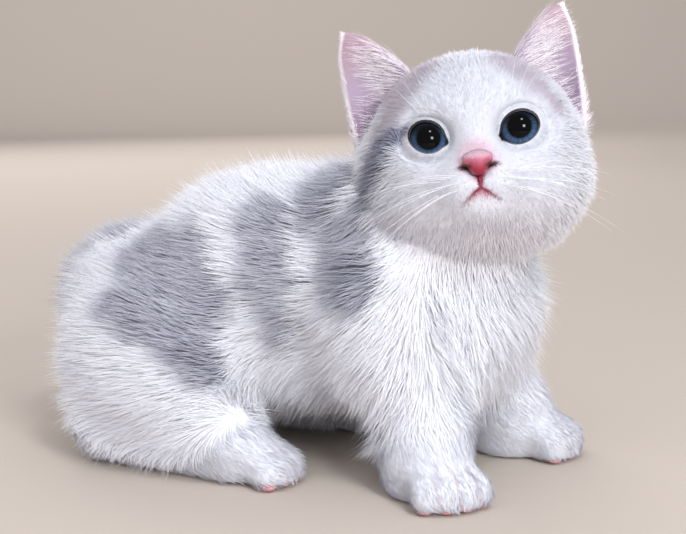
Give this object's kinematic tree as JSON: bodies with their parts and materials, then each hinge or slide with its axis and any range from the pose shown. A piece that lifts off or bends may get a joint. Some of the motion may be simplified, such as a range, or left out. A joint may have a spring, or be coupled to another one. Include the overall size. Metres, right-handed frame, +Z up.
{
  "type": "munchkin cat",
  "caption": "Short-legged fluffy kitten, crouched on its haunches with straight forelegs and its head turned over its right shoulder. A still figure at life size.",
  "frame": {"origin": "on the floor under the middle of the whole animal's box", "axes": "+X the way the pelvis points, from tail to chest; +Y the animal's left; +Z up"},
  "size_m": [0.2198, 0.129, 0.1527],
  "materials": {
    "white_coat": "long soft fur, matt",
    "grey_coat": "long soft fur, matt",
    "ear_skin": "thin pink skin under short white fur",
    "nose_leather": "moist, finely grained skin",
    "eye": "wet and clear, polished"
  },
  "bodies": {
    "root": {"head": "white_coat", "ear_left": "ear_skin", "ear_right": "ear_skin", "eye_left": "eye", "eye_right": "eye", "nose": "nose_leather", "neck": "white_coat", "chest": "white_coat", "loin": "white_coat", "rump": "white_coat", "foreleg_left": "white_coat", "foreleg_right": "white_coat", "forepaw_left": "white_coat", "forepaw_right": "white_coat", "thigh_left": "white_coat", "thigh_right": "white_coat", "hind_foot_left": "white_coat", "hind_foot_right": "white_coat", "tail_base": "grey_coat", "tail_middle": "grey_coat", "tail_tip": "grey_coat"}
  },
  "joints": []
}
